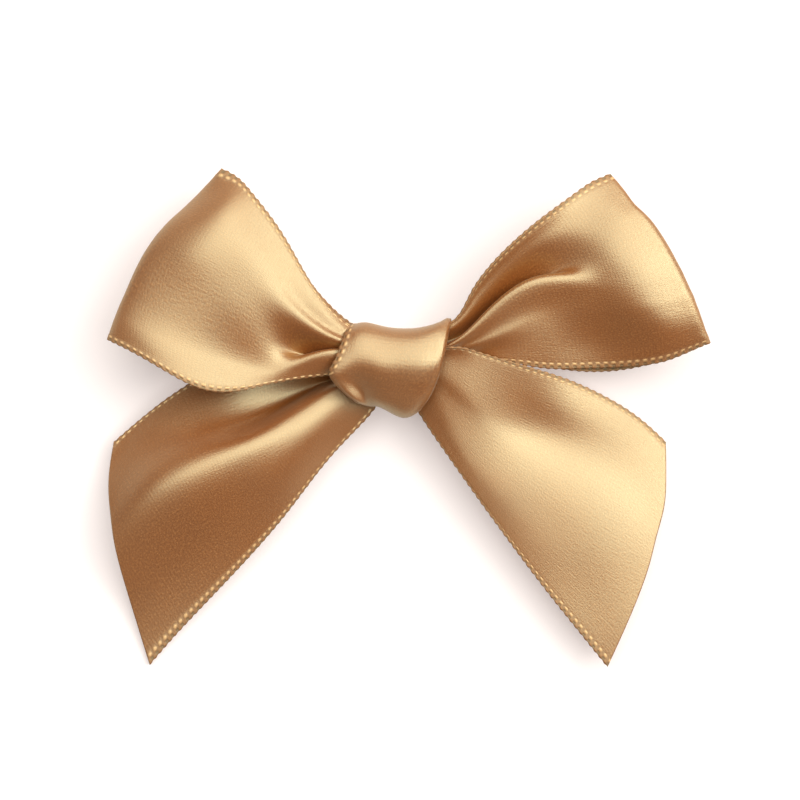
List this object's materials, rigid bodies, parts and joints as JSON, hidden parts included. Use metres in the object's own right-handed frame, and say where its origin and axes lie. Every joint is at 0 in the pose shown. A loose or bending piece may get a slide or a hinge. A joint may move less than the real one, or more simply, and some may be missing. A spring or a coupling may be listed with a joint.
{
  "type": "pre-made gift bow",
  "caption": "Flat gift bow of satin ribbon with two loops and two slant-cut tails gathered by a wrapped band, with a peel-and-stick foam dot behind.",
  "frame": {"origin": "under the centre of the bow's outline, on the surface that the bow lies on", "axes": "+X to the bow's right as seen from its face, +Y towards the tops of the loops, +Z out of its face"},
  "size_m": [0.047, 0.0388, 0.0076],
  "materials": {
    "satin_ribbon": "satin",
    "adhesive_foam": "matte",
    "liner_paper": "satin"
  },
  "bodies": {
    "knot": {"knot_band": "satin_ribbon", "loop_gather": "satin_ribbon", "tail_crossing": "satin_ribbon", "foam_dot": "adhesive_foam"},
    "left_loop": {"left_loop": "satin_ribbon"},
    "right_loop": {"right_loop": "satin_ribbon"},
    "left_tail": {"left_tail": "satin_ribbon"},
    "right_tail": {"right_tail": "satin_ribbon"},
    "liner": {"release_liner": "liner_paper"}
  },
  "joints": [
    {"name": "left_loop_lift", "type": "hinge", "parent": "knot", "child": "left_loop", "pos_m": [-0.0056, 0.0057, 0.006], "axis": [0.3499, 0.9368, 0], "range_deg": [0, 50], "stiffness_Nm_per_rad": 0.0002},
    {"name": "right_loop_lift", "type": "hinge", "parent": "knot", "child": "right_loop", "pos_m": [0.0039, 0.0069, 0.0057], "axis": [-0.2402, -0.9707, 0], "range_deg": [0, 50], "stiffness_Nm_per_rad": 0.0002},
    {"name": "left_tail_lift", "type": "hinge", "parent": "knot", "child": "left_tail", "pos_m": [-0.0054, 0.0023, 0.0018], "axis": [-0.9, 0.436, 0], "range_deg": [0, 28], "stiffness_Nm_per_rad": 0.0002},
    {"name": "right_tail_lift", "type": "hinge", "parent": "knot", "child": "right_tail", "pos_m": [0.0025, 0.003, 0.0028], "axis": [-0.5501, -0.8351, 0], "range_deg": [0, 30], "stiffness_Nm_per_rad": 0.0002},
    {"name": "liner_peel", "type": "slide", "parent": "knot", "child": "liner", "axis": [-0.927, 0.375, 0], "range_m": [0, 0.014]}
  ]
}
